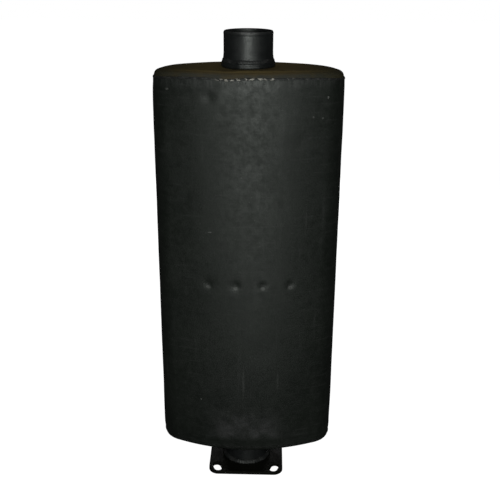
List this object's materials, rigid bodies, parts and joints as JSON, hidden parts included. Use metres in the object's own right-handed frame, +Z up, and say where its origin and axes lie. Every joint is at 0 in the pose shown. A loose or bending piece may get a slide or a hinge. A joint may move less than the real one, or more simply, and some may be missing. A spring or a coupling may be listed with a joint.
{
  "type": "oval exhaust silencer",
  "caption": "Vertical oval exhaust silencer with an open pipe stub on top, welded end caps, plug-welded inner baffle and a slotted square flange on the inlet pipe below.",
  "frame": {"origin": "centre of the inlet flange's underside, on the axis of both pipes", "axes": "+Z up along the pipes, towards the outlet stub; +X along the oval's long way; -Y is the face with the visible row of plug welds"},
  "size_m": [0.2498, 0.11, 0.635],
  "materials": {
    "black_paint": "satin black heat-resistant paint",
    "cap_paint": "thin dark paint with a brown cast",
    "painted_weld": "painted weld bead, chipped on its crests",
    "inner_steel": "bare aluminised steel"
  },
  "bodies": {
    "root": {"shell": "black_paint", "shell_seam_weld": "painted_weld", "top_cap": "cap_paint", "top_cap_weld": "painted_weld", "bottom_cap": "black_paint", "bottom_cap_weld": "painted_weld", "outlet_pipe": "black_paint", "outlet_collar": "black_paint", "outlet_weld": "painted_weld", "inlet_pipe": "black_paint", "inlet_collar": "black_paint", "inlet_weld": "painted_weld", "inlet_flange": "black_paint", "flange_weld": "painted_weld", "lower_baffle": "inner_steel", "middle_baffle": "inner_steel", "upper_baffle": "inner_steel", "inlet_tube": "inner_steel", "outlet_tube": "inner_steel", "inlet_tube_plug": "inner_steel", "outlet_tube_plug": "inner_steel", "crossover_tube_left": "inner_steel", "crossover_tube_right": "inner_steel", "crossover_welds": "inner_steel", "tube_welds": "inner_steel", "plug_welds_front": "painted_weld", "plug_welds_back": "painted_weld"}
  },
  "joints": []
}
